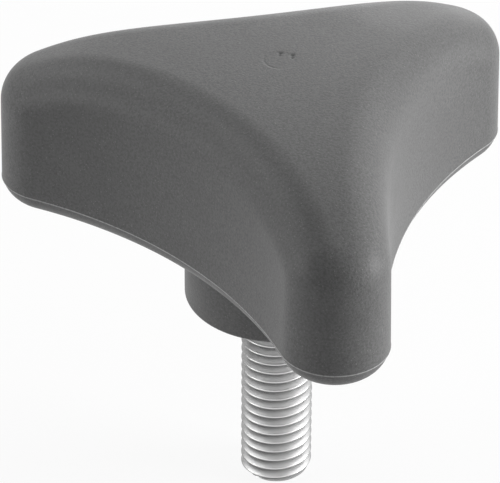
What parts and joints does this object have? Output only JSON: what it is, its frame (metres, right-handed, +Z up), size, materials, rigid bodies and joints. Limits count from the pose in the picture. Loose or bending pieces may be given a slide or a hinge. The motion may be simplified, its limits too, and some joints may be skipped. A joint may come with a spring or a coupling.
{
  "type": "star knob",
  "caption": "Lobed clamping knob with a falling crown, deep finger hollows and a cored underside, moulded around a fixed threaded stud.",
  "frame": {"origin": "centre of the hub's seating face, on the stud's axis", "axes": "+Z up the stud's axis from the seating face to the crown, -Z along the stud to its free end, one lobe to -Y"},
  "size_m": [0.0712, 0.0636, 0.067],
  "materials": {
    "moulded_plastic": "fine matt spark-eroded texture, dark grey",
    "zinc_plated_steel": "bright zinc plating on a rolled thread"
  },
  "bodies": {
    "root": {"knob_body": "moulded_plastic", "threaded_stud": "zinc_plated_steel"}
  },
  "joints": []
}
